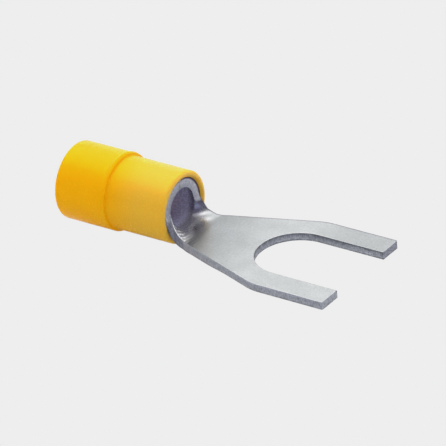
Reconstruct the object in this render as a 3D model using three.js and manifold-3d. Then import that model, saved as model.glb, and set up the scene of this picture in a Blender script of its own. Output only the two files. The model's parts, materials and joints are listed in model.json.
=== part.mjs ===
// Insulated fork terminal: an open two-tined fork and a crimp barrel in one piece of sheet metal,
// with a yellow plastic sleeve over the barrel.
// Millimetres. +X runs along the wire's axis towards the tips of the tines, +Z is square to the
// tongue, and the origin is on the wire's axis, halfway along the terminal.

import * as THREE from 'three';
import { mergeVertices } from 'three/addons/utils/BufferGeometryUtils.js';
import Module from 'manifold-3d';

const wasm = await Module();
wasm.setup();

// Driving dimensions
const totalLength = 34.2;
const tipX = totalLength / 2;
const sleeveRearX = -totalLength / 2;

// The fork: its slot takes an 8 mm stud.
const forkWidth = 13.8;
const slotWidth = 8.4;
const slotCentreX = 9.5;
const shoulderRadius = 5;
const tipCornerRadius = 0.2;
const tongueThickness = 0.85;
const tongueTopZ = -1.88;
const coinStartX = 1.4; // the sheet is thinned from its full wall to the tongue between these two
const coinEndX = 4.9;

// The barrel and the neck that unrolls out of it into the flat tongue
const wall = 1;
const boreRadius = 2.05;
const barrelMouthX = -4.1;
const barrelLength = 6.5;
const seamGap = 0.3;
const unrollLength = 2.7;
const riseLength = 3.4;
const neckHalfWidth = 3.12;
const taperStartX = -2.1;
const taperAngle = THREE.MathUtils.degToRad(19.35);
const notchSideTangent = 0.65; // how far the notch's edge leaves the mouth straight down
const notchNeckTangent = 1.4; // and how far it runs along the neck before it gets there
const unrollEase = 0.65; // below 1, the roll opens early

// The insulating sleeve
const sleeveFrontX = -3.85;
const sleeveFrontRadius = 3.83;
const sleeveRearRadius = 4.1;
const shoulderX = -11.1;
const shoulderRun = 0.45;
const frontEdgeRadius = 0.35;
const frontBoreChamfer = 0.26; // room for the neck, which starts to open inside the sleeve's mouth
const rearEdgeRadius = 0.15;
const sleeveClearance = 0.04;
const stopBoreRadius = 2.1; // the inner ledge that the barrel's rear end butts against
const stopLength = 0.55;
const funnelLength = 1.7;
const entryBoreRadius = 3.3;
const entryChamfer = 0.25;

// The low moulding ridge on top of the sleeve's shoulder: a short ring set a little above the axis
const ridgeLength = 0.8;
const ridgeOffset = 0.12;
const ridgeCrown = 0.06;
const ridgeInnerRadius = 3.5;

// The filler in the barrel's seam
const brazeClearance = 0.02;
const brazeBoreRecess = 0.1;
const brazeOuterRecess = 0.03;
const brazeEndRecess = 0.05;

// Facets: half of the barrel is a whole number of equal steps, and the neck takes over the lowest.
const barrelHalfSteps = 19;
const neckHalfSteps = 10;
const taperSteps = 10;
const edgeDivisions = 4;
const slotSegments = 24;
const sleeveSegments = 64;
const sleeveDivisions = 3;
const ridgeDivisions = 8;

// Worked out from the dimensions above
const outerRadius = boreRadius + wall;
const middleRadius = boreRadius + wall / 2;
const barrelRearX = barrelMouthX - barrelLength;
const seamHalfAngle = seamGap / 2 / middleRadius;
const barrelStep = (Math.PI - seamHalfAngle) / barrelHalfSteps;
const mouthHalfWidth = neckHalfSteps * barrelStep * middleRadius;

// X, Y and Z of a section drawn in its own x and y, then run along the wire's axis
const alongWireAxis = new THREE.Matrix4().makeBasis(
  new THREE.Vector3(0, 1, 0),
  new THREE.Vector3(0, 0, 1),
  new THREE.Vector3(1, 0, 0),
);

function solidFrom(geometry) {
  const bare = geometry.clone();
  bare.deleteAttribute('normal');
  bare.deleteAttribute('uv');
  const merged = mergeVertices(bare);
  const vertProperties = new Float32Array(merged.attributes.position.array);
  const triVerts = new Uint32Array(merged.index.array);
  return new wasm.Manifold(new wasm.Mesh({ numProp: 3, vertProperties, triVerts }));
}

function geometryFrom(solid) {
  const mesh = solid.getMesh();
  const geometry = new THREE.BufferGeometry();
  geometry.setAttribute('position', new THREE.BufferAttribute(mesh.vertProperties, 3));
  geometry.setIndex(new THREE.BufferAttribute(mesh.triVerts, 1));
  geometry.computeVertexNormals();
  return geometry;
}

// The part of a ring that lies between two angles, turning anticlockwise from the first to the second
function ringSector(innerRadius, ringRadius, startAngle, endAngle) {
  const shape = new THREE.Shape();
  shape.absarc(0, 0, ringRadius, startAngle, endAngle, false);
  shape.absarc(0, 0, innerRadius, endAngle, startAngle, true);
  shape.closePath();
  return shape;
}

function extrudeAlongX(shape, rearX, frontX, segments) {
  const options = { depth: frontX - rearX, bevelEnabled: false, curveSegments: segments };
  const geometry = new THREE.ExtrudeGeometry(shape, options);
  geometry.applyMatrix4(alongWireAxis);
  geometry.translate(rearX, 0, 0);
  return geometry;
}

// The sheet's section at a place along X: it is rolled to the barrel's radius at the mouth, and its
// curvature dies away along the neck until the tongue is flat.
function sheetSection(x) {
  const unrolled = THREE.MathUtils.clamp((x - barrelMouthX) / unrollLength, 0, 1);
  const curvature = (1 - THREE.MathUtils.smoothstep(unrolled ** unrollEase, 0, 1)) / middleRadius;
  const rise = THREE.MathUtils.smoothstep(x, barrelMouthX, barrelMouthX + riseLength);
  const topZ = THREE.MathUtils.lerp(-boreRadius, tongueTopZ, rise);
  const coined = THREE.MathUtils.smoothstep(x, coinStartX, coinEndX);
  const thickness = THREE.MathUtils.lerp(wall, tongueThickness, coined);
  return { curvature, thickness, middleZ: topZ - thickness / 2 };
}

// Where a point of the flat blank lands once the blank is rolled: across is measured along the
// sheet from its centre line, side is +0.5 on the inner face and -0.5 on the outer face, and
// thicknessShare is 1 except where the sheet is thinned to a tenon.
function rolledPoint(x, across, side, thicknessShare) {
  const { curvature, thickness, middleZ } = sheetSection(x);
  const offset = side * thickness * thicknessShare;
  const turn = curvature * across;
  const y = curvature > 0 ? Math.sin(turn) / curvature : across;
  const z = curvature > 0 ? (1 - Math.cos(turn)) / curvature : 0;
  return new THREE.Vector3(x, y - offset * Math.sin(turn), middleZ + z + offset * Math.cos(turn));
}

// The blank's edge from the barrel's mouth to the centre line of the tips: the notch beside the
// mouth, the tapering neck, the shoulder, the outside of the tine and its rounded corner.
function blankEdge() {
  const halfWidth = forkWidth / 2;
  const taperEndX = taperStartX + (halfWidth - neckHalfWidth) / Math.tan(taperAngle);
  const tangentLength = shoulderRadius * Math.tan(taperAngle / 2);
  const shoulderEndX = taperEndX + tangentLength;
  const edge = new THREE.Path();
  edge.moveTo(barrelMouthX, mouthHalfWidth);
  edge.bezierCurveTo(
    barrelMouthX, mouthHalfWidth - notchSideTangent,
    taperStartX - notchNeckTangent, neckHalfWidth,
    taperStartX, neckHalfWidth,
  );
  for (let step = 1; step <= taperSteps; step += 1) {
    const along = (step / taperSteps) * (coinEndX - taperStartX);
    edge.lineTo(taperStartX + along, neckHalfWidth + along * Math.tan(taperAngle));
  }
  edge.absarc(
    shoulderEndX, halfWidth - shoulderRadius, shoulderRadius,
    Math.PI / 2 + taperAngle, Math.PI / 2, true,
  );
  edge.lineTo(tipX - tipCornerRadius, halfWidth);
  edge.absarc(tipX - tipCornerRadius, halfWidth - tipCornerRadius, tipCornerRadius, Math.PI / 2, 0, true);
  return edge.getPoints(edgeDivisions);
}

// The neck and tongue: a slab whose columns follow the blank's edge, rolled into shape. Its first
// column is a thin tenon inside the barrel's wall, so that the two join into one piece.
function neckAndTongue() {
  const tenonLength = 0.3;
  const tenonShare = 0.5;
  const edge = blankEdge();
  const columns = [new THREE.Vector2(barrelMouthX - tenonLength, mouthHalfWidth), ...edge];
  const lastColumn = columns.length - 1;
  const geometry = new THREE.BoxGeometry(1, 1, 1, lastColumn, 2 * neckHalfSteps, 1);
  const position = geometry.attributes.position;
  for (let i = 0; i < position.count; i += 1) {
    const column = Math.round((position.getX(i) + 0.5) * lastColumn);
    const { x, y: halfWidth } = columns[column];
    const thicknessShare = column === 0 ? tenonShare : 1;
    const point = rolledPoint(x, 2 * position.getY(i) * halfWidth, position.getZ(i), thicknessShare);
    position.setXYZ(i, point.x, point.y, point.z);
  }
  return geometry;
}

function slotCutter() {
  const past = 1;
  const radius = slotWidth / 2;
  const shape = new THREE.Shape();
  shape.moveTo(tipX + past, radius);
  shape.lineTo(slotCentreX, radius);
  shape.absarc(slotCentreX, 0, radius, Math.PI / 2, 1.5 * Math.PI, false);
  shape.lineTo(tipX + past, -radius);
  shape.closePath();
  const depth = tongueThickness + 2 * past;
  const geometry = new THREE.ExtrudeGeometry(shape, {
    depth, bevelEnabled: false, curveSegments: slotSegments,
  });
  geometry.translate(0, 0, tongueTopZ - tongueThickness - past);
  return geometry;
}

function forkTerminal() {
  const seamStart = Math.PI / 2 + seamHalfAngle;
  const seamEnd = seamStart + 2 * (Math.PI - seamHalfAngle);
  const section = ringSector(boreRadius, outerRadius, seamStart, seamEnd);
  const barrel = extrudeAlongX(section, barrelRearX, barrelMouthX, 2 * barrelHalfSteps);
  const joined = solidFrom(barrel).add(solidFrom(neckAndTongue()));
  const geometry = geometryFrom(joined.subtract(solidFrom(slotCutter())));
  const material = new THREE.MeshStandardMaterial({ color: 0xb9bcc0, roughness: 0.42, metalness: 0.9 });
  return namedMesh('fork_terminal', geometry, material);
}

// A closed outline of radius against place along the axis, turned about the wire's axis
function turned(outline) {
  const geometry = new THREE.LatheGeometry(outline, sleeveSegments);
  geometry.rotateZ(-Math.PI / 2);
  return geometry;
}

function sleeveOutline() {
  const frontBoreRadius = outerRadius + sleeveClearance;
  const ledgeX = barrelRearX - sleeveClearance;
  const funnelX = ledgeX - stopLength;
  const path = new THREE.Path();
  path.moveTo(entryBoreRadius + entryChamfer, sleeveRearX);
  path.lineTo(sleeveRearRadius - rearEdgeRadius, sleeveRearX);
  path.absarc(
    sleeveRearRadius - rearEdgeRadius, sleeveRearX + rearEdgeRadius, rearEdgeRadius,
    -Math.PI / 2, 0,
  );
  path.lineTo(sleeveRearRadius, shoulderX);
  path.bezierCurveTo(
    sleeveRearRadius, shoulderX + shoulderRun / 2,
    sleeveFrontRadius, shoulderX + shoulderRun / 2,
    sleeveFrontRadius, shoulderX + shoulderRun,
  );
  path.absarc(
    sleeveFrontRadius - frontEdgeRadius, sleeveFrontX - frontEdgeRadius, frontEdgeRadius,
    0, Math.PI / 2,
  );
  path.lineTo(frontBoreRadius + frontBoreChamfer, sleeveFrontX);
  path.lineTo(frontBoreRadius, sleeveFrontX - frontBoreChamfer);
  path.lineTo(frontBoreRadius, ledgeX);
  path.lineTo(stopBoreRadius, ledgeX);
  path.lineTo(stopBoreRadius, funnelX);
  path.lineTo(entryBoreRadius, funnelX - funnelLength);
  path.lineTo(entryBoreRadius, sleeveRearX + entryChamfer);
  path.lineTo(entryBoreRadius + entryChamfer, sleeveRearX);
  return path.getPoints(sleeveDivisions);
}

function ridgeOutline() {
  const rearX = shoulderX + shoulderRun / 2 - ridgeLength;
  const frontX = shoulderX + shoulderRun / 2;
  const crown = sleeveRearRadius + 2 * ridgeCrown;
  const path = new THREE.Path();
  path.moveTo(ridgeInnerRadius, rearX);
  path.lineTo(sleeveFrontRadius, rearX);
  path.bezierCurveTo(crown, rearX + ridgeLength / 4, crown, frontX, sleeveFrontRadius, frontX);
  path.lineTo(ridgeInnerRadius, frontX);
  path.lineTo(ridgeInnerRadius, rearX);
  return path.getPoints(ridgeDivisions);
}

function insulationSleeve() {
  const ridge = turned(ridgeOutline());
  ridge.translate(0, 0, ridgeOffset);
  const geometry = geometryFrom(solidFrom(turned(sleeveOutline())).add(solidFrom(ridge)));
  const material = new THREE.MeshStandardMaterial({ color: 0xe9b008, roughness: 0.35, metalness: 0 });
  return namedMesh('insulation_sleeve', geometry, material);
}

function seamBraze() {
  const halfAngle = seamHalfAngle - brazeClearance / middleRadius;
  const section = ringSector(
    boreRadius + brazeBoreRecess, outerRadius - brazeOuterRecess,
    Math.PI / 2 - halfAngle, Math.PI / 2 + halfAngle,
  );
  const geometry = extrudeAlongX(section, barrelRearX + brazeEndRecess, barrelMouthX - brazeEndRecess, 2);
  const material = new THREE.MeshStandardMaterial({ color: 0xa7a59c, roughness: 0.55, metalness: 0.8 });
  return namedMesh('seam_braze', geometry, material);
}

function namedMesh(name, geometry, material) {
  const mesh = new THREE.Mesh(geometry, material);
  mesh.name = name;
  return mesh;
}

const terminal = new THREE.Group();
terminal.add(forkTerminal(), insulationSleeve(), seamBraze());

export default terminal;
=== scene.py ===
"""Looks for the insulated fork terminal: plated sheet metal, its seam filler and the yellow sleeve.

Lengths are millimetres until a mesh is made, and the frame is the CAD's: +X along the wire's axis
towards the tips of the tines, +Z square to the tongue, origin on the axis. The camera looks at the
terminal from the side of -Y, so that side is called near and the other far.
"""

import json
import math

import bpy
from mathutils import Matrix, Vector, noise


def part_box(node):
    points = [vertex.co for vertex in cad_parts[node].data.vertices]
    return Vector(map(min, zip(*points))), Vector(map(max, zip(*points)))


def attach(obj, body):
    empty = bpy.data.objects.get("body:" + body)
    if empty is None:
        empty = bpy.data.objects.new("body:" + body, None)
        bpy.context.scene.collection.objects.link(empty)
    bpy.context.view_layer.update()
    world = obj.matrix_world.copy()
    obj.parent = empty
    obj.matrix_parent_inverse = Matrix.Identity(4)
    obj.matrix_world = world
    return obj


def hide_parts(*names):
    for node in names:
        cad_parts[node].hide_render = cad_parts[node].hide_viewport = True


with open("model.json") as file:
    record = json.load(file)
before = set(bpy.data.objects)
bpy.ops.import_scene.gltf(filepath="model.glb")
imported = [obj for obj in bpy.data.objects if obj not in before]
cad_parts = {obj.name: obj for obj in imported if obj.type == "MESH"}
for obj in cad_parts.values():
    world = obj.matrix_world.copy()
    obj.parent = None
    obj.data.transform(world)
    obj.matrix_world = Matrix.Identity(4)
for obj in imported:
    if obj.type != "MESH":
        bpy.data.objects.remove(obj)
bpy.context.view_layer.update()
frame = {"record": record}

MM = 0.001

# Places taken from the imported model
metal_low, metal_high = [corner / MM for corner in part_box("fork_terminal")]
sleeve_low, sleeve_high = [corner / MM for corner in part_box("insulation_sleeve")]
mount_z = {mount["name"]: mount["pos_m"][2] / MM for mount in frame["record"]["mounts"]}

TIP_X = metal_high.x
HALF_WIDTH = metal_high.y
BARREL_REAR_X = metal_low.x
OUTER_RADIUS = -metal_low.z
TONGUE_TOP_Z = mount_z["tongue_top_face"]
TONGUE_THICKNESS = TONGUE_TOP_Z - mount_z["tongue_under_face"]
SLEEVE_REAR_X = sleeve_low.x
SLEEVE_FRONT_X = sleeve_high.x
SLEEVE_REAR_RADIUS = -sleeve_low.z
RIDGE_TOP_RADIUS = sleeve_high.z

# Sheet metal
WALL = 1.0
BORE_RADIUS = OUTER_RADIUS - WALL
MIDDLE_RADIUS = OUTER_RADIUS - WALL / 2
MOUTH_X = SLEEVE_FRONT_X - 0.25
UNROLL_LENGTH = 2.7
UNROLL_EASE = 0.65
RISE_LENGTH = 3.4
COIN_START_X = 1.4
COIN_END_X = 4.9
MOUTH_HALF_ARC = math.radians(93.0)
SEAM_HALF_GAP = 0.15
NECK_HALF_WIDTH = 3.12
TAPER_START_X = -2.1
TAPER = math.tan(math.radians(19.35))
SHOULDER_RADIUS = 5.0
TIP_CORNER_RADIUS = 0.2
SLOT_RADIUS = 4.2
SLOT_CENTRE_X = 9.5
NOTCH_SIDE_TANGENT = 0.65
NOTCH_NECK_TANGENT = 1.4
NOTCH_TOP_FADE = 0.4  # the mouth's rounded edge sets in over this width above the notch's corner
ROLLOVER_RADIUS = 0.05
BURR_RADIUS = 0.025
SHEAR_DEPTH = 0.008
SHEAR_GRAIN = 3.1  # rough spots per millimetre along the cut
NEARLY_FLAT = 1e-9

# The sheet's lattice: rows at these distances from a cut edge, layers at these shares of the depth,
# and extra columns this far from the mouth and from the back of the slot
EDGE_ROWS = (0.0, 0.02, 0.05, 0.1, 0.16)
PLAIN_ROWS = 26
COLLAR_ROWS = 36
DEPTH_SHARES = (0.0, 0.03, 0.065, 0.1, 0.2, 0.35, 0.5, 0.65, 0.8, 0.92, 0.96, 1.0)
NECK_ROWS = 2 * len(EDGE_ROWS) + PLAIN_ROWS - 1
ALL_ROWS = NECK_ROWS + COLLAR_ROWS
MOUTH_GAPS = (0.3, 0.16, 0.1, 0.05)
SLOT_BACK_GAPS = (0.1, 0.05)

# Sleeve
SLEEVE_FRONT_RADIUS = 3.83
SHOULDER_X = -11.1
SHOULDER_RUN = 0.2
SHOULDER_LEAD = 0.04
SHOULDER_STEP = 0.12
FRONT_EDGE_RADIUS = 0.35
REAR_EDGE_RADIUS = 0.15
FRONT_BORE_RADIUS = OUTER_RADIUS + 0.04
FRONT_BORE_CHAMFER = 0.26
LEDGE_X = BARREL_REAR_X - 0.04
LEDGE_RADIUS = 2.1
LEDGE_LENGTH = 0.55
FUNNEL_LENGTH = 1.7
ENTRY_RADIUS = 3.3
ENTRY_CHAMFER = 0.25
RIDGE_LENGTH = 0.6
RIDGE_GATHERING = 6  # a higher power gathers the ridge more on top
SHOULDER_MARGIN = 0.9  # how far behind the shoulder the outline's fine steps begin
SLEEVE_TURNS = 192
SLEEVE_UNEVENNESS = 0.008
METAL_SHADOW_LEAD = 0.8  # the metal inside starts to grey the skin this far behind the barrel,
METAL_SHADOW_RUN = 5.0  # and greys it little by little over this length
BORE_EDGE_FADE = 0.07
END_FACE_FADE = (0.15, 0.02)

# Seam filler: how far it sits back from the bore and from the outer skin, and how much it bulges
SEAM_BORE_INSET = 0.05
SEAM_SKIN_INSET = 0.04
SEAM_BULGE = 0.04
SEAM_REAR_GAP = 0.02
SEAM_MOUTH_GAP = 0.01
SEAM_STEPS = (8, 60)  # across and along

# Camera and stage
CAMERA_AZIMUTH = math.radians(36.57)
CAMERA_ELEVATION = math.radians(29.03)
CAMERA_ROLL = math.radians(-4.69)
CAMERA_DISTANCE = 468.2
CAMERA_LENS = 376.8
CAMERA_TARGET = Vector((0.73, 0.09, -0.65))
PAPER_WHITE = 0.855
FLOOR_GAP = 1.5
STUDIO_STRENGTH = 3.4
SOFT_BOX_TILT = (-0.12, 0.17, 1.0)
SIDE_FILL_DIRECTION = (0.75, -0.6, 0.25)
SIDE_FILL_DISTANCE = 260.0
SIDE_FILL_SIZE = 160.0
SIDE_FILL_WATTS = 0.125
SIDE_FILL_COLOUR = (0.84, 0.97, 1.1)


def smooth(value):
    """0 below 0, 1 above 1, and an even S between them."""
    share = min(max(value, 0.0), 1.0)
    return share * share * (3 - 2 * share)


def fade(value, start, end):
    """0 at start and 1 at end, with an even S between; start may be the larger."""
    return smooth((value - start) / (end - start))


def mix(a, b, share):
    """a at share 0 and b at share 1."""
    return a + (b - a) * share


def spaced(start, end, count):
    """count places from just after start up to and including end."""
    return [mix(start, end, (i + 1) / count) for i in range(count)]


def mesh_object(name, points, faces, material_numbers, materials, attributes):
    """A smooth-shaded mesh from points in millimetres, with one float attribute per name."""
    mesh = bpy.data.meshes.new(name)
    mesh.from_pydata([point * MM for point in points], [], faces)
    for material in materials:
        mesh.materials.append(material)
    mesh.polygons.foreach_set("material_index", material_numbers)
    mesh.polygons.foreach_set("use_smooth", [True] * len(faces))
    for attribute_name, values in attributes.items():
        attribute = mesh.attributes.new(attribute_name, "FLOAT", "POINT")
        attribute.data.foreach_set("value", values)
    mesh.update()
    obj = bpy.data.objects.new(name, mesh)
    bpy.context.scene.collection.objects.link(obj)
    return obj


# ---------------------------------------------------------------- sheet metal


def sheet_section(x):
    """Curvature, thickness and mid-surface height of the rolled sheet at a place along X."""
    unrolled = min(max((x - MOUTH_X) / UNROLL_LENGTH, 0.0), 1.0)
    curvature = (1 - smooth(unrolled**UNROLL_EASE)) / MIDDLE_RADIUS
    top_z = mix(-BORE_RADIUS, TONGUE_TOP_Z, smooth((x - MOUTH_X) / RISE_LENGTH))
    coined = fade(x, COIN_START_X, COIN_END_X)
    thickness = mix(WALL, TONGUE_THICKNESS, coined)
    return curvature, thickness, top_z - thickness / 2


def rolled_point(x, across, depth):
    """Where a point of the flat blank lands: depth is how far it lies below the inner face."""
    curvature, thickness, middle_z = sheet_section(x)
    offset = thickness / 2 - depth
    turn = curvature * across
    if curvature < NEARLY_FLAT:
        return Vector((x, across, middle_z + offset))
    y = math.sin(turn) / curvature - offset * math.sin(turn)
    z = middle_z + (1 - math.cos(turn)) / curvature + offset * math.cos(turn)
    return Vector((x, y, z))


def outer_half_width(x):
    """Half the blank's width beyond the notch: taper, shoulder, tine and its rounded corner."""
    taper_end_x = TAPER_START_X + (HALF_WIDTH - NECK_HALF_WIDTH) / TAPER
    angle = math.atan(TAPER)
    shoulder_end_x = taper_end_x + SHOULDER_RADIUS * math.tan(angle / 2)
    shoulder_start_x = shoulder_end_x - SHOULDER_RADIUS * math.sin(angle)
    corner_start_x = TIP_X - TIP_CORNER_RADIUS
    if x < shoulder_start_x:
        return NECK_HALF_WIDTH + (x - TAPER_START_X) * TAPER
    if x < shoulder_end_x:
        drop = SHOULDER_RADIUS - math.sqrt(SHOULDER_RADIUS**2 - (shoulder_end_x - x) ** 2)
        return HALF_WIDTH - drop
    if x < corner_start_x:
        return HALF_WIDTH
    past = min(x - corner_start_x, TIP_CORNER_RADIUS)
    return HALF_WIDTH - TIP_CORNER_RADIUS + math.sqrt(TIP_CORNER_RADIUS**2 - past**2)


def notch_columns(count):
    """Columns along the notch's edge, which leaves the mouth straight down and joins the neck."""
    mouth_half_width = MOUTH_HALF_ARC * MIDDLE_RADIUS
    p0 = Vector((MOUTH_X, mouth_half_width))
    p1 = Vector((MOUTH_X, mouth_half_width - NOTCH_SIDE_TANGENT))
    p2 = Vector((TAPER_START_X - NOTCH_NECK_TANGENT, NECK_HALF_WIDTH))
    p3 = Vector((TAPER_START_X, NECK_HALF_WIDTH))
    columns = []
    for i in range(count + 1):
        t = i / count
        point = p0 * (1 - t) ** 3 + p1 * 3 * t * (1 - t) ** 2 + p2 * 3 * t**2 * (1 - t) + p3 * t**3
        columns.append({"x": point.x, "outer": point.y, "inner": 0.0, "part": "neck"})
    return columns


def blank_columns():
    """The lattice's columns from the barrel's rear end to the tips of the tines."""
    mouth_half_width = MOUTH_HALF_ARC * MIDDLE_RADIUS
    slot_back_x = SLOT_CENTRE_X - SLOT_RADIUS
    corner_start_x = TIP_X - TIP_CORNER_RADIUS
    columns = []
    near_mouth = [MOUTH_X - gap for gap in MOUTH_GAPS]
    for x in [BARREL_REAR_X, *spaced(BARREL_REAR_X, MOUTH_X - 0.5, 22), *near_mouth]:
        columns.append({"x": x, "outer": mouth_half_width, "inner": 0.0, "part": "barrel"})
    columns += notch_columns(26)
    near_slot = [slot_back_x - gap for gap in SLOT_BACK_GAPS]
    for x in [*spaced(TAPER_START_X, slot_back_x - 0.2, 44), *near_slot]:
        columns.append({"x": x, "outer": outer_half_width(x), "inner": 0.0, "part": "neck"})
    arc_steps = 36
    for step in range(arc_steps + 1):
        angle = step / arc_steps * math.pi / 2
        x = SLOT_CENTRE_X - SLOT_RADIUS * math.cos(angle)
        inner = SLOT_RADIUS * math.sin(angle)
        columns.append({"x": x, "outer": outer_half_width(x), "inner": inner, "part": "tines"})
    for x in spaced(SLOT_CENTRE_X, corner_start_x, 26):
        columns.append({"x": x, "outer": HALF_WIDTH, "inner": SLOT_RADIUS, "part": "tines"})
    corner_steps = 8
    for step in range(1, corner_steps + 1):
        x = corner_start_x + TIP_CORNER_RADIUS * math.sin(step / corner_steps * math.pi / 2)
        columns.append(
            {"x": x, "outer": outer_half_width(x), "inner": SLOT_RADIUS, "part": "tines"}
        )
    return columns


def row_place(column, row):
    """How far row lies from the centre line. Rows crowd near the inner and outer edges."""
    inner, outer = column["inner"], column["outer"]
    last = len(EDGE_ROWS) - 1
    if row > NECK_ROWS:
        seam = math.pi * MIDDLE_RADIUS - SEAM_HALF_GAP
        return mix(outer, seam, (row - NECK_ROWS) / COLLAR_ROWS)
    if row <= last:
        return inner + EDGE_ROWS[row]
    if row >= NECK_ROWS - last:
        return outer - EDGE_ROWS[NECK_ROWS - row]
    share = (row - last) / (NECK_ROWS - 2 * last)
    return mix(inner + EDGE_ROWS[last], outer - EDGE_ROWS[last], share)


def cut_distance(column, row, x, across):
    """Distance from a point of the blank to the nearest sheared edge, and the way out to it."""
    outline = [(TIP_X - x, Vector((1.0, 0.0)))]
    if column["part"] == "barrel" or (column["part"] == "neck" and row > NECK_ROWS):
        above_notch = smooth((across - column["outer"]) / NOTCH_TOP_FADE)
        outline.append((mix(WALL, MOUTH_X - x, above_notch), Vector((1.0, 0.0))))
    else:
        outline.append((column["outer"] - across, Vector((0.0, 1.0))))
    to_centre = Vector((SLOT_CENTRE_X - x, -across))
    if x > SLOT_CENTRE_X:
        outline.append((across - SLOT_RADIUS, Vector((0.0, -1.0))))
    else:
        outline.append((to_centre.length - SLOT_RADIUS, to_centre.normalized()))
    return min(outline, key=lambda entry: entry[0])


def rounded(distance, depth, radius):
    """Moves a point near a square corner onto a quarter circle; returns its new distance and depth."""
    a = max(0.0, radius - max(distance, 0.0))
    b = max(0.0, radius - depth)
    if a == 0.0 or b == 0.0:
        return distance, depth
    shrink = max(a, b) / math.hypot(a, b)
    return radius - a * shrink, radius - b * shrink


def lattice_point(column, row, side, layer):
    """One point of the thick sheet, with its edge rounding, shear roughness and forming ripples."""
    x = column["x"]
    across = row_place(column, row)
    thickness = sheet_section(x)[1]
    depth = DEPTH_SHARES[layer] * thickness
    distance, outward = cut_distance(column, row, x, across)
    new_distance, new_depth = rounded(distance, depth, ROLLOVER_RADIUS)
    new_distance, height = rounded(new_distance, thickness - new_depth, BURR_RADIUS)
    new_depth = thickness - height
    shift = new_distance - distance
    if distance < ROLLOVER_RADIUS:
        grain = Vector((x * SHEAR_GRAIN, across * side * SHEAR_GRAIN, depth * 5.0))
        rough = 0.5 + 0.35 * noise.noise(grain) + 0.35 * noise.noise(grain * 3.7)
        shift += SHEAR_DEPTH * min(max(rough, 0.0), 1.0) * (1 - max(distance, 0.0) / ROLLOVER_RADIUS)
    x -= outward.x * shift
    across -= outward.y * shift
    return rolled_point(x, side * across, new_depth)


def surface_notes(column, row, side, layer):
    """What the materials are told about a lattice point, each from 0 to 1."""
    x = column["x"]
    across = row_place(column, row)
    depth = DEPTH_SHARES[layer]
    inner_face = 1 - depth
    past_mouth = x - MOUTH_X
    from_edge = column["outer"] - across

    # Regions of the blank: the barrel's end ring, the notch beside it, the flat tongue
    on_ring = fade(past_mouth, 0.25, 0.0)
    on_tongue = fade(past_mouth, 1.3, 2.5)
    in_notch = (1 - on_ring) * (1 - on_tongue)
    far_side = 1.0 if side > 0 else 0.0
    near_side = 1 - far_side
    far_half = far_side * fade(across, 0.0, 2.0)
    near_half = near_side * fade(across, 0.0, 1.8)
    far_wall = far_side * fade(across, 1.9, 2.6)
    far_end = far_side * fade(x, TIP_X - 0.3, TIP_X - 0.1)
    slot_side = 1.0 if row <= len(EDGE_ROWS) and column["inner"] > 0 else 0.0

    # Where the bore's shade runs out onto the neck, and where the forming tool's polish ends
    shade_end = 1.8 - 0.5 * far_wall + 1.1 * near_half
    polish_end = 3.2 - far_wall
    polish_start = 0.8 - 0.4 * far_wall

    # Cut faces: painted shade makes them dark in the notch and at the far tine's end; lightest on the ring
    notch_tone = 0.24 * near_side
    tongue_tone = 0.5 - 0.16 * far_end
    tone = mix(notch_tone * in_notch + tongue_tone * on_tongue, 1.0, on_ring)

    # Painted shade: darker grey towards the barrel, less so on the far half, and along the far tine
    barrel_grey = fade(x, 9.0 - 3.0 * far_half, -3.0)
    far_tine_grey = 0.45 * far_side * fade(x, 8.0, 12.0)

    score_zone = fade(past_mouth, 0.2, 0.6) * fade(past_mouth, 3.5, 1.5) * fade(from_edge, 1.8, 0.6)
    return {
        "cut_depth": depth,
        "shaded": fade(past_mouth, shade_end, shade_end - 2.6) * inner_face,
        "inside": fade(past_mouth, 0.1, -0.9) * inner_face,
        # Painted shade: the far wall's dark reflection of the bore
        "wall_shade": far_wall * fade(past_mouth, 1.15, 0.35) * inner_face,
        # Painted shade: a dark line along the far edge's rounded top
        "far_rim": (1 - on_ring) * far_side * fade(from_edge, 0.18, 0.08) * fade(depth, 0.15, 0.05),
        "sheet_shade": max(barrel_grey, far_tine_grey),
        "formed": fade(past_mouth, polish_end, polish_start) * inner_face,
        "ring": on_ring,
        "tone": tone,
        "slot_side": on_tongue * slot_side,
        "outer_side": (1 - on_ring) * (1 - slot_side),
        # Painted highlight along the near notch edge's burr
        "burr_highlight": in_notch * near_side * fade(from_edge, 0.084, 0.024) * fade(depth, 0.09, 0.03),
        # Score marks: real strokes, painted lighter as their glint
        "scored_glint": near_side * score_zone * inner_face,
    }


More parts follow.
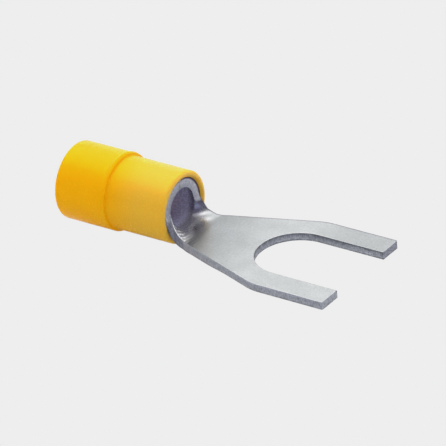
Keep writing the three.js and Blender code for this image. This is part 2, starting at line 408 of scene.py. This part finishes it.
def build_sheet(materials):
    """The whole pressing as one closed mesh: the boundary of a lattice of columns, rows and layers."""
    columns = blank_columns()
    layers = len(DEPTH_SHARES) - 1
    numbers, points, notes = {}, [], []

    def vertex(i, row, side, layer):
        """The number of a lattice point, made on first use; the centre line is shared by both sides."""
        column = columns[i]
        shared = row == 0 and column["inner"] == 0.0
        key = (i, row, 0 if shared else side, layer)
        if key not in numbers:
            numbers[key] = len(points)
            points.append(lattice_point(column, row, side, layer))
            notes.append(surface_notes(column, row, side, layer))
        return numbers[key]

    def solid(i, row, layer):
        """Whether this cell of the lattice is metal: the collar's rows end at the mouth."""
        if not (0 <= i < len(columns) - 1 and 0 <= layer < layers and 0 <= row < ALL_ROWS):
            return False
        return row < NECK_ROWS or columns[i + 1]["x"] <= MOUTH_X

    faces, face_materials = [], []

    def quad(corners, side, material):
        """One face, turned outwards on either side, with repeated corners dropped."""
        ring = [vertex(i, row, side, layer) for i, row, layer in corners]
        ring = [v for n, v in enumerate(ring) if v != ring[n - 1]]
        if len(ring) > 2:
            faces.append(ring if side > 0 else ring[::-1])
            face_materials.append(material)

    sheet_face, cut_face = 0, 1
    for side in (1, -1):
        for i in range(len(columns) - 1):
            for row in range(ALL_ROWS):
                if not solid(i, row, 0):
                    continue
                a, b, c, d = i, i + 1, row, row + 1
                quad([(a, c, 0), (b, c, 0), (b, d, 0), (a, d, 0)], side, sheet_face)
                quad([(a, d, layers), (b, d, layers), (b, c, layers), (a, c, layers)], side, sheet_face)
                in_slot = row == 0 and columns[b]["inner"] > 0.0
                for k in range(layers):
                    e = k + 1
                    if not solid(i, row + 1, k):
                        quad([(a, d, k), (b, d, k), (b, d, e), (a, d, e)], side, cut_face)
                    if in_slot:
                        quad([(a, c, e), (b, c, e), (b, c, k), (a, c, k)], side, cut_face)
                    if not solid(i + 1, row, k):
                        quad([(b, c, k), (b, c, e), (b, d, e), (b, d, k)], side, cut_face)
                    if not solid(i - 1, row, k):
                        quad([(a, c, k), (a, d, k), (a, d, e), (a, c, e)], side, cut_face)
    attributes = {name: [note[name] for note in notes] for name in notes[0]}
    return mesh_object("fork_sheet", points, faces, face_materials, materials, attributes)


# ---------------------------------------------------------------- seam filler


def build_seam(materials):
    """The bead of filler in the seam: slightly proud in the middle, flush with the mouth."""
    half_angle = SEAM_HALF_GAP / MIDDLE_RADIUS
    across_steps, along_steps = SEAM_STEPS
    low, high = BORE_RADIUS + SEAM_BORE_INSET, OUTER_RADIUS - SEAM_SKIN_INSET
    start_x, end_x = BARREL_REAR_X + SEAM_REAR_GAP, MOUTH_X - SEAM_MOUTH_GAP
    places = [mix(start_x, end_x, i / along_steps) for i in range(along_steps + 1)]
    ring = [(mix(-1, 1, i / across_steps), 1) for i in range(across_steps + 1)]
    ring += [(-turn, -1) for turn, _ in ring]
    points = []
    for x in places:
        for turn, face in ring:
            uneven = 1 + 0.6 * noise.noise(Vector((x * 2.5, face, 0.0)))
            bulge = SEAM_BULGE * (1 - turn * turn) * uneven
            radius = high + bulge if face > 0 else low - bulge
            angle = turn * half_angle
            points.append(Vector((x, radius * math.sin(angle), radius * math.cos(angle))))
    count = len(ring)
    faces = []
    for i in range(along_steps):
        for j in range(count):
            k = (j + 1) % count
            faces.append([i * count + j, i * count + k, (i + 1) * count + k, (i + 1) * count + j])
    faces.append(list(range(count))[::-1])
    faces.append([along_steps * count + j for j in range(count)])
    return mesh_object("seam_filler", points, faces, [0] * len(faces), materials, {})


# ---------------------------------------------------------------- sleeve


def arc(centre_x, centre_r, radius, start, end, steps):
    """Points of a quarter-round edge in the half plane of (x, radius)."""
    return [
        (centre_x + radius * math.cos(a), centre_r + radius * math.sin(a))
        for a in [mix(start, end, i / steps) for i in range(steps + 1)]
    ]


def line(start, end, steps):
    """Points from after start up to and including end."""
    return [
        (mix(start[0], end[0], i / steps), mix(start[1], end[1], i / steps))
        for i in range(1, steps + 1)
    ]


def sleeve_profile():
    """The closed outline, from the rear edge over the outside to the mouth and back through the bore."""
    half_turn = math.pi
    quarter = math.pi / 2
    outside = arc(
        SLEEVE_REAR_X + REAR_EDGE_RADIUS, SLEEVE_REAR_RADIUS - REAR_EDGE_RADIUS, REAR_EDGE_RADIUS,
        half_turn, quarter, 6,
    )
    outside += line(outside[-1], (SHOULDER_X - SHOULDER_MARGIN, SLEEVE_REAR_RADIUS), 16)
    shoulder_end_x = SHOULDER_X + SHOULDER_RUN
    for x in spaced(SHOULDER_X - SHOULDER_MARGIN, shoulder_end_x, 44):
        share = smooth((x - SHOULDER_X - SHOULDER_LEAD) / SHOULDER_STEP)
        outside.append((x, mix(SLEEVE_REAR_RADIUS, SLEEVE_FRONT_RADIUS, share)))
    outside += line(outside[-1], (SLEEVE_FRONT_X - FRONT_EDGE_RADIUS, SLEEVE_FRONT_RADIUS), 22)
    outside += arc(
        SLEEVE_FRONT_X - FRONT_EDGE_RADIUS, SLEEVE_FRONT_RADIUS - FRONT_EDGE_RADIUS,
        FRONT_EDGE_RADIUS, quarter, 0.0, 10,
    )[1:]
    # The inside's corners, each with how many steps lead up to it
    corners = [
        ((SLEEVE_FRONT_X, FRONT_BORE_RADIUS + FRONT_BORE_CHAMFER), 2),
        ((SLEEVE_FRONT_X - FRONT_BORE_CHAMFER, FRONT_BORE_RADIUS), 4),
        ((LEDGE_X, FRONT_BORE_RADIUS), 20),
        ((LEDGE_X, LEDGE_RADIUS), 4),
        ((LEDGE_X - LEDGE_LENGTH, LEDGE_RADIUS), 4),
        ((LEDGE_X - LEDGE_LENGTH - FUNNEL_LENGTH, ENTRY_RADIUS), 10),
        ((SLEEVE_REAR_X + ENTRY_CHAMFER, ENTRY_RADIUS), 14),
        ((SLEEVE_REAR_X, ENTRY_RADIUS + ENTRY_CHAMFER), 4),
    ]
    inside = []
    last = outside[-1]
    for corner, steps in corners:
        inside += line(last, corner, steps)
        last = corner
    return outside, inside


def ridge_height(x, turn):
    """How far the moulding ridge stands out at the shoulder: most on top, nothing underneath."""
    centre_x = SHOULDER_X + (SHOULDER_RUN - RIDGE_LENGTH) / 2
    reach = min(abs(x - centre_x) / (RIDGE_LENGTH / 2), 1.0)
    crown = (RIDGE_TOP_RADIUS - SLEEVE_REAR_RADIUS) * ((1 + math.cos(turn)) / 2) ** RIDGE_GATHERING
    return crown * math.cos(reach * math.pi / 2) ** 2


def build_sleeve(materials):
    """The moulding turned about the wire's axis, with its ridge and a faint unevenness.

    Its notes say where metal lies under the skin, what faces the bore and what is the front end face.
    """
    outside, inside = sleeve_profile()
    profile = outside + inside
    end_face_places = [SLEEVE_FRONT_X - gap for gap in END_FACE_FADE]
    points, over_metal, in_mouth, end_face = [], [], [], []
    for step in range(SLEEVE_TURNS):
        turn = step / SLEEVE_TURNS * 2 * math.pi
        for number, (x, radius) in enumerate(profile):
            if number < len(outside):
                radius += ridge_height(x, turn)
                wave = noise.noise(Vector((x * 0.35, math.sin(turn) * 1.3, math.cos(turn) * 1.3)))
                radius -= SLEEVE_UNEVENNESS * (1 + wave)
            points.append(Vector((x, radius * math.sin(turn), radius * math.cos(turn))))
            over_metal.append(smooth((x - BARREL_REAR_X + METAL_SHADOW_LEAD) / METAL_SHADOW_RUN))
            # in_mouth marks where the sleeve's bore gets painted shade just inside the mouth
            within_bore = number >= len(outside) and LEDGE_X < x
            bore_share = fade(radius, FRONT_BORE_RADIUS + BORE_EDGE_FADE, FRONT_BORE_RADIUS)
            in_mouth.append(bore_share if within_bore else 0.0)
            end_face.append(fade(x, *end_face_places))
    count = len(profile)
    faces = []
    for step in range(SLEEVE_TURNS):
        after = (step + 1) % SLEEVE_TURNS
        for j in range(count):
            k = (j + 1) % count
            faces.append([step * count + j, after * count + j, after * count + k, step * count + k])
    attributes = {"over_metal": over_metal, "in_mouth": in_mouth, "end_face": end_face}
    return mesh_object("sleeve_moulding", points, faces, [0] * len(faces), materials, attributes)


# ---------------------------------------------------------------- materials


def new_material(name):
    """A node material, its tree, its Principled shader and its place in the object, in millimetres."""
    material = bpy.data.materials.new(name)
    material.use_nodes = True
    tree = material.node_tree
    shader = tree.nodes["Principled BSDF"]
    coordinates = tree.nodes.new("ShaderNodeTexCoord")
    scale = tree.nodes.new("ShaderNodeVectorMath")
    scale.operation = "SCALE"
    scale.inputs["Scale"].default_value = 1 / MM
    tree.links.new(coordinates.outputs["Object"], scale.inputs[0])
    return material, tree, shader, scale.outputs[0]


def stretched(tree, place, amounts):
    """The place with each axis scaled by its own amount; a small amount draws the pattern out."""
    node = tree.nodes.new("ShaderNodeVectorMath")
    node.operation = "MULTIPLY"
    node.inputs[1].default_value = amounts
    tree.links.new(place, node.inputs[0])
    return node.outputs[0]


def noise_value(tree, place, scale, detail=3.0, roughness=0.55):
    """Cloudy noise around 0.5, with scale in cycles per millimetre."""
    node = tree.nodes.new("ShaderNodeTexNoise")
    node.inputs["Scale"].default_value = scale
    node.inputs["Detail"].default_value = detail
    node.inputs["Roughness"].default_value = roughness
    tree.links.new(place, node.inputs["Vector"])
    return node.outputs["Fac"]


def attribute_value(tree, name):
    """A note that the mesh carries for each point."""
    node = tree.nodes.new("ShaderNodeAttribute")
    node.attribute_name = name
    return node.outputs["Fac"]


def calculate(tree, operation, a, b):
    """One sum on two values, each a socket or a plain number."""
    node = tree.nodes.new("ShaderNodeMath")
    node.operation = operation
    for socket, value in zip(node.inputs, (a, b)):
        if isinstance(value, (int, float)):
            socket.default_value = value
        else:
            tree.links.new(value, socket)
    return node.outputs[0]


def remap(tree, value, low, high, to_low, to_high):
    """to_low where value is low or less, to_high where it is high or more, and even between."""
    node = tree.nodes.new("ShaderNodeMapRange")
    node.inputs["From Min"].default_value = low
    node.inputs["From Max"].default_value = high
    node.inputs["To Min"].default_value = to_low
    node.inputs["To Max"].default_value = to_high
    tree.links.new(value, node.inputs["Value"])
    return node.outputs["Result"]


def ramp(tree, value, stops):
    """A colour that runs through (position, (r, g, b)) stops as value goes from 0 to 1."""
    node = tree.nodes.new("ShaderNodeValToRGB")
    elements = node.color_ramp.elements
    while len(elements) < len(stops):
        elements.new(0.5)
    for element, (position, colour) in zip(elements, stops):
        element.position = position
        element.color = (*colour, 1.0)
    tree.links.new(value, node.inputs["Fac"])
    return node.outputs["Color"]


def blend_colours(tree, share, first, second, mode="MIX"):
    """Blends second over first; each input is a socket or a plain value."""
    node = tree.nodes.new("ShaderNodeMix")
    node.data_type = "RGBA"
    node.blend_type = mode
    sockets = {"Factor": share, "A": first, "B": second}
    for socket in node.inputs:
        if socket.enabled and socket.name in sockets:
            value = sockets[socket.name]
            if isinstance(value, (int, float)):
                socket.default_value = value
            elif isinstance(value, tuple):
                socket.default_value = (*value, 1.0)
            else:
                tree.links.new(value, socket)
    return [output for output in node.outputs if output.enabled][0]


def bump(tree, height, distance_mm, strength):
    """A normal tilted by the slope of height."""
    node = tree.nodes.new("ShaderNodeBump")
    if isinstance(strength, float):
        node.inputs["Strength"].default_value = strength
    else:
        tree.links.new(strength, node.inputs["Strength"])
    node.inputs["Distance"].default_value = distance_mm * MM
    tree.links.new(height, node.inputs["Height"])
    return node.outputs["Normal"]


def weighted_sum(tree, a, a_weight, b, b_weight):
    """a times its weight plus b times its weight."""
    return calculate(
        tree, "ADD", calculate(tree, "MULTIPLY", a, a_weight), calculate(tree, "MULTIPLY", b, b_weight)
    )


def score_marks(tree, place):
    """Slanting strokes nearly half a millimetre apart, uneven in width and strength."""
    split = tree.nodes.new("ShaderNodeSeparateXYZ")
    tree.links.new(place, split.inputs[0])
    slanted = weighted_sum(tree, split.outputs["X"], 14.0, split.outputs["Y"], -2.5)
    wander = noise_value(tree, place, 1.8, 2.0)
    phase = calculate(tree, "ADD", slanted, calculate(tree, "MULTIPLY", wander, 6.0))
    wave = calculate(tree, "SINE", phase, 0.0)
    strength = remap(tree, noise_value(tree, place, 2.6, 2.0), 0.38, 0.6, 0.2, 1.0)
    return calculate(tree, "MULTIPLY", remap(tree, wave, 0.1, 0.9, 0.0, 1.0), strength)


def tin_grain(tree, place):
    """The plating's grain, the height it gives the surface, and its tone from dark to light."""
    along = stretched(tree, place, (0.9, 1.3, 1.3))
    cloud = noise_value(tree, place, 0.45, 4.0)
    grain = noise_value(tree, along, 4.5, 4.0, 0.65)
    fine = noise_value(tree, along, 13.0, 2.0)
    height = weighted_sum(tree, grain, 0.7, fine, 0.3)
    tone = weighted_sum(tree, cloud, 0.25, height, 0.75)
    return grain, height, tone


def clean_tin_colour(tree, tone):
    """The satin tongue's grey, darkened by painted shade towards the barrel and along the far tine."""
    clean = ramp(
        tree, tone,
        [(0.40, (0.333, 0.346, 0.342)), (0.5, (0.383, 0.395, 0.394)), (0.60, (0.438, 0.449, 0.457))],
    )
    sheet_shade = ramp(
        tree, attribute_value(tree, "sheet_shade"),
        [(0.0, (1.0, 1.0, 1.0)), (1.0, (0.64, 0.65, 0.66))],
    )
    return blend_colours(tree, 1.0, clean, sheet_shade, "MULTIPLY")


def plated_sheet_material():
    """Tin plate: satin on the tongue, polished by the forming tool on the neck, dull in the barrel."""
    material, tree, shader, place = new_material("tin_plate")
    grain, height, tone = tin_grain(tree, place)

    # Where the sheet differs from the clean tongue
    formed = attribute_value(tree, "formed")
    shaded = attribute_value(tree, "shaded")
    shade = remap(tree, shaded, 0.02, 0.4, 0.0, 1.0)
    inside = attribute_value(tree, "inside")
    outside = calculate(tree, "SUBTRACT", 1.0, inside)
    wall_shade = calculate(tree, "MULTIPLY", attribute_value(tree, "wall_shade"), outside)
    far_rim = attribute_value(tree, "far_rim")
    scored_glint = calculate(tree, "MULTIPLY", score_marks(tree, place), attribute_value(tree, "scored_glint"))
    bright = calculate(tree, "MAXIMUM", scored_glint, attribute_value(tree, "burr_highlight"))

    shade_colour = ramp(tree, shaded, [(0.0, (0.46, 0.46, 0.46)), (0.5, (0.18, 0.175, 0.205))])
    colour = clean_tin_colour(tree, tone)
    # Layers: the polished neck's grey, painted shade from the bore, the bore's purple-grey, the far wall's
    # painted dark reflection of the bore, painted shade along the far rim, and painted highlights on the
    # burr and the score marks
    for share, over in (
        (formed, (0.36, 0.36, 0.37)),
        (shade, shade_colour),
        (inside, (0.46, 0.45, 0.61)),
        (wall_shade, (0.125, 0.115, 0.185)),
        (far_rim, (0.11, 0.10, 0.145)),
        (bright, (0.80, 0.81, 0.82)),
    ):
        colour = blend_colours(tree, share, colour, over)
    tree.links.new(colour, shader.inputs["Base Color"])

    # Painted shade and the painted highlights on the burr and the score marks are matt, so that they keep
    # their tone from every side
    matt = calculate(tree, "MAXIMUM", shade, calculate(tree, "MAXIMUM", wall_shade, far_rim))
    dull = calculate(tree, "MAXIMUM", bright, calculate(tree, "MULTIPLY", matt, 0.8))
    tree.links.new(remap(tree, dull, 0.0, 1.0, 0.96, 0.1), shader.inputs["Metallic"])

    satin = remap(tree, grain, 0.3, 0.7, 0.30, 0.40)
    polished = remap(tree, grain, 0.3, 0.7, 0.22, 0.32)
    unformed = calculate(tree, "SUBTRACT", 1.0, formed)
    tree.links.new(weighted_sum(tree, polished, formed, satin, unformed), shader.inputs["Roughness"])
    relief = remap(tree, calculate(tree, "MAXIMUM", inside, formed), 0.0, 1.0, 0.4, 0.06)
    tree.links.new(bump(tree, height, 0.02, relief), shader.inputs["Normal"])
    return material


def cut_face_colour(tree, place):
    """A cut face's grey from its top to its foot, before the tones of its place and its tearing."""
    depth = attribute_value(tree, "cut_depth")
    slot_side = attribute_value(tree, "slot_side")
    ring = attribute_value(tree, "ring")
    wobble = noise_value(tree, place, 1.3, 4.0, 0.6)
    shifted = calculate(tree, "ADD", depth, remap(tree, wobble, 0.3, 0.7, -0.12, 0.12))
    body = ramp(
        tree, shifted,
        [(0.0, (0.25, 0.26, 0.30)), (0.45, (0.31, 0.32, 0.36)), (1.0, (0.42, 0.43, 0.47))],
    )

    # Painted shade darkens the rounded top border in the slot; painted light makes it the lightest part
    # round the outside
    top_dark = calculate(tree, "MULTIPLY", remap(tree, shifted, 0.12, 0.36, 0.6, 0.0), slot_side)
    colour = blend_colours(tree, top_dark, body, (0.08, 0.08, 0.10))
    lit_top_border = ramp(
        tree, shifted,
        [(0.0, (1.5, 1.5, 1.48)), (0.25, (1.1, 1.1, 1.1)), (0.7, (0.92, 0.92, 0.93))],
    )
    outer = blend_colours(tree, 1.0, colour, lit_top_border, "MULTIPLY")
    colour = blend_colours(tree, attribute_value(tree, "outer_side"), colour, outer)

    # The foot of every cut face, and the rim of the barrel's end ring, are in shade
    off_ring = calculate(tree, "SUBTRACT", 1.0, ring)
    foot_dark = calculate(tree, "MULTIPLY", remap(tree, shifted, 0.8, 0.98, 0.0, 0.65), off_ring)
    colour = blend_colours(tree, foot_dark, colour, (0.07, 0.07, 0.09))
    ring_dark = calculate(tree, "MULTIPLY", remap(tree, depth, 0.80, 0.93, 0.0, 1.0), ring)
    return blend_colours(tree, ring_dark, colour, (0.09, 0.06, 0.12))


def sheared_edge_material():
    """A cut face of the sheet: burnished above, torn grey below, with painted shade along its foot and in
    the notch, and a painted highlight along the burr.
    """
    material, tree, shader, place = new_material("sheared_edge")
    tear = noise_value(tree, stretched(tree, place, (1.0, 1.0, 0.45)), 7.5, 3.0, 0.7)
    # Painted shade from the tone note: dark in the notch and at the far tine's end, light on the ring
    level = ramp(
        tree, attribute_value(tree, "tone"),
        [(0.0, (0.16, 0.14, 0.24)), (0.5, (1.0, 1.0, 1.0)), (1.0, (1.3, 1.28, 1.32))],
    )
    speckle = ramp(
        tree, tear,
        [(0.34, (0.66, 0.66, 0.68)), (0.5, (0.97, 0.97, 0.97)), (0.67, (1.38, 1.38, 1.37))],
    )
    colour = blend_colours(tree, 1.0, cut_face_colour(tree, place), level, "MULTIPLY")
    colour = blend_colours(tree, 1.0, colour, speckle, "MULTIPLY")
    # Painted highlight: the burr is drawn light and less metallic
    burr_highlight = attribute_value(tree, "burr_highlight")
    colour = blend_colours(tree, burr_highlight, colour, (0.95, 0.95, 0.96))
    tree.links.new(colour, shader.inputs["Base Color"])
    tree.links.new(remap(tree, burr_highlight, 0.0, 1.0, 0.5, 0.1), shader.inputs["Metallic"])
    shader.inputs["Roughness"].default_value = 0.55
    tree.links.new(bump(tree, tear, 0.03, 0.5), shader.inputs["Normal"])
    return material


def seam_material():
    """Filler metal in the seam: as grey and torn as the cut faces beside it."""
    material, tree, shader, place = new_material("seam_filler")
    lumps = noise_value(tree, place, 5.0, 3.0, 0.7)
    colour = ramp(tree, lumps, [(0.35, (0.30, 0.30, 0.33)), (0.65, (0.56, 0.56, 0.58))])
    tree.links.new(colour, shader.inputs["Base Color"])
    shader.inputs["Metallic"].default_value = 0.5
    shader.inputs["Roughness"].default_value = 0.55
    tree.links.new(bump(tree, lumps, 0.03, 0.5), shader.inputs["Normal"])
    return material


def sleeve_material():
    """Yellow semi-gloss plastic: orange-yellow and greyer over the metal, with painted light making the
    end face paler and painted shade darkening the bore just inside the mouth.

    A trace of metallic keeps its reflections yellow.
    """
    material, tree, shader, place = new_material("yellow_plastic")
    cloud = noise_value(tree, place, 0.3, 3.0)
    pure = ramp(tree, cloud, [(0.35, (0.90, 0.42, 0.003)), (0.65, (0.92, 0.45, 0.005))])
    over_metal = attribute_value(tree, "over_metal")
    colour = blend_colours(tree, over_metal, pure, (0.81, 0.46, 0.042))
    # Painted light: the front end face is paler
    colour = blend_colours(tree, attribute_value(tree, "end_face"), colour, (0.82, 0.49, 0.08))
    # Painted shade: the bore darkens just inside the mouth
    colour = blend_colours(tree, attribute_value(tree, "in_mouth"), colour, (0.20, 0.12, 0.10))
    tree.links.new(colour, shader.inputs["Base Color"])
    fine = noise_value(tree, place, 6.0, 3.0)
    tree.links.new(remap(tree, fine, 0.3, 0.7, 0.22, 0.30), shader.inputs["Roughness"])
    shader.inputs["IOR"].default_value = 1.1
    shader.inputs["Metallic"].default_value = 0.06
    shader.inputs["Specular IOR Level"].default_value = 1.0
    shader.inputs["Specular Tint"].default_value = (1.0, 0.82, 0.05, 1.0)
    shader.inputs["Subsurface Weight"].default_value = 0.4
    shader.inputs["Subsurface Radius"].default_value = (1.0, 0.45, 0.06)
    shader.inputs["Subsurface Scale"].default_value = 0.7 * MM
    tree.links.new(bump(tree, fine, 0.01, 0.15), shader.inputs["Normal"])
    return material


# ---------------------------------------------------------------- stage


def paper_material():
    """Pale paper that shows only its upper side, and is exposed to plain white for the camera."""
    material = bpy.data.materials.new("paper")
    material.use_nodes = True
    tree = material.node_tree
    paper = tree.nodes["Principled BSDF"]
    paper.inputs["Base Color"].default_value = (0.68, 0.68, 0.68, 1.0)
    paper.inputs["Roughness"].default_value = 1.0
    paper.inputs["Specular IOR Level"].default_value = 0.0
    white = tree.nodes.new("ShaderNodeEmission")
    white.inputs["Strength"].default_value = PAPER_WHITE
    clear = tree.nodes.new("ShaderNodeBsdfTransparent")
    light_path = tree.nodes.new("ShaderNodeLightPath")
    geometry = tree.nodes.new("ShaderNodeNewGeometry")
    upper = mixed_shaders(tree, light_path.outputs["Is Camera Ray"], paper, white)
    whole = mixed_shaders(tree, geometry.outputs["Backfacing"], upper, clear)
    tree.links.new(whole.outputs[0], tree.nodes["Material Output"].inputs["Surface"])
    return material


def mixed_shaders(tree, share, first, second):
    """first at share 0 and second at share 1."""
    node = tree.nodes.new("ShaderNodeMixShader")
    tree.links.new(share, node.inputs["Fac"])
    tree.links.new(first.outputs[0], node.inputs[1])
    tree.links.new(second.outputs[0], node.inputs[2])
    return node


def build_floor(height_mm):
    """A wide sheet of pale paper under the terminal."""
    reach = 2500.0
    signs = ((-1, -1), (1, -1), (1, 1), (-1, 1))
    corners = [Vector((reach * x, reach * y, height_mm)) for x, y in signs]
    floor = mesh_object("paper_floor", corners, [[0, 1, 2, 3]], [0], [paper_material()], {})


def build_world():
    """The studio: a ring-shaped soft box overhead, a lit backdrop, and dimness by the camera."""
    world = bpy.data.worlds.new("studio")
    world.use_nodes = True
    tree = world.node_tree
    background = tree.nodes["Background"]
    coordinates = tree.nodes.new("ShaderNodeTexCoord")
    direction = coordinates.outputs["Generated"]
    behind = tree.nodes.new("ShaderNodeVectorMath")
    behind.operation = "DOT_PRODUCT"
    behind.inputs[1].default_value = (-math.sin(CAMERA_AZIMUTH), math.cos(CAMERA_AZIMUTH), 0.0)
    tree.links.new(direction, behind.inputs[0])
    backdrop = ramp(
        tree, remap(tree, behind.outputs["Value"], -0.2, 0.5, 0.0, 1.0),
        [(0.0, (0.065, 0.065, 0.075)), (1.0, (0.38, 0.38, 0.39))],
    )
    above = tree.nodes.new("ShaderNodeVectorMath")
    above.operation = "DOT_PRODUCT"
    above.inputs[1].default_value = Vector(SOFT_BOX_TILT).normalized()
    tree.links.new(direction, above.inputs[0])
    overhead = ramp(
        tree, above.outputs["Value"],
        [
            (0.72, (0.0, 0.0, 0.0)),
            (0.83, (0.98, 0.98, 0.97)),
            (0.93, (1.0, 1.0, 0.98)),
            (0.985, (0.2, 0.2, 0.2)),
        ],
    )
    sky = blend_colours(tree, 1.0, backdrop, overhead, "LIGHTEN")
    light_path = tree.nodes.new("ShaderNodeLightPath")
    plain_white = (PAPER_WHITE / STUDIO_STRENGTH,) * 3
    seen = blend_colours(tree, light_path.outputs["Is Camera Ray"], sky, plain_white)
    tree.links.new(seen, background.inputs["Color"])
    background.inputs["Strength"].default_value = STUDIO_STRENGTH
    bpy.context.scene.world = world


def build_side_fill():
    """A weak disc of light low in front, aimed at the sleeve's side and the tips of the tines."""
    data = bpy.data.lights.new("side_fill", "AREA")
    data.shape = "DISK"
    data.size = SIDE_FILL_SIZE * MM
    data.energy = SIDE_FILL_WATTS
    data.color = SIDE_FILL_COLOUR
    light = bpy.data.objects.new("side_fill", data)
    direction = Vector(SIDE_FILL_DIRECTION).normalized()
    light.location = direction * SIDE_FILL_DISTANCE * MM
    light.rotation_euler = direction.to_track_quat("Z", "Y").to_euler()
    bpy.context.scene.collection.objects.link(light)


def build_camera():
    """The photograph's viewpoint: a long lens, slightly rolled."""
    data = bpy.data.cameras.new("camera")
    data.lens = CAMERA_LENS
    data.sensor_width = 36.0
    data.clip_start = 0.01
    camera = bpy.data.objects.new("camera", data)
    level = math.cos(CAMERA_ELEVATION)
    away = Vector(
        (
            math.sin(CAMERA_AZIMUTH) * level,
            -math.cos(CAMERA_AZIMUTH) * level,
            math.sin(CAMERA_ELEVATION),
        )
    )
    camera.location = (CAMERA_TARGET + away * CAMERA_DISTANCE) * MM
    turn = away.to_track_quat("Z", "Y").to_matrix() @ Matrix.Rotation(CAMERA_ROLL, 3, "Z")
    camera.rotation_euler = turn.to_euler()
    bpy.context.scene.collection.objects.link(camera)
    bpy.context.scene.camera = camera


def set_tone():
    """Plain display tones, with everything brighter than white paper held at paper white."""
    view = bpy.context.scene.view_settings
    view.view_transform = "Standard"
    view.use_curve_mapping = True
    curve = view.curve_mapping.curves[3]
    curve.points[1].location = (1.0, PAPER_WHITE)
    knee = curve.points.new(PAPER_WHITE, PAPER_WHITE)
    knee.handle_type = "VECTOR"
    view.curve_mapping.update()


def main():
    """Builds the three pieces and the stage."""
    pieces = (
        (build_sheet([plated_sheet_material(), sheared_edge_material()]), "fork_terminal", "tinned_metal"),
        (build_seam([seam_material()]), "seam_braze", "braze_metal"),
        (build_sleeve([sleeve_material()]), "insulation_sleeve", "yellow_plastic"),
    )
    for piece, cad_node, material_slot in pieces:
        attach(piece, "root")
        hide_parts(cad_node)

    build_floor(sleeve_low.z - FLOOR_GAP)
    build_world()
    build_side_fill()
    build_camera()
    set_tone()


main()
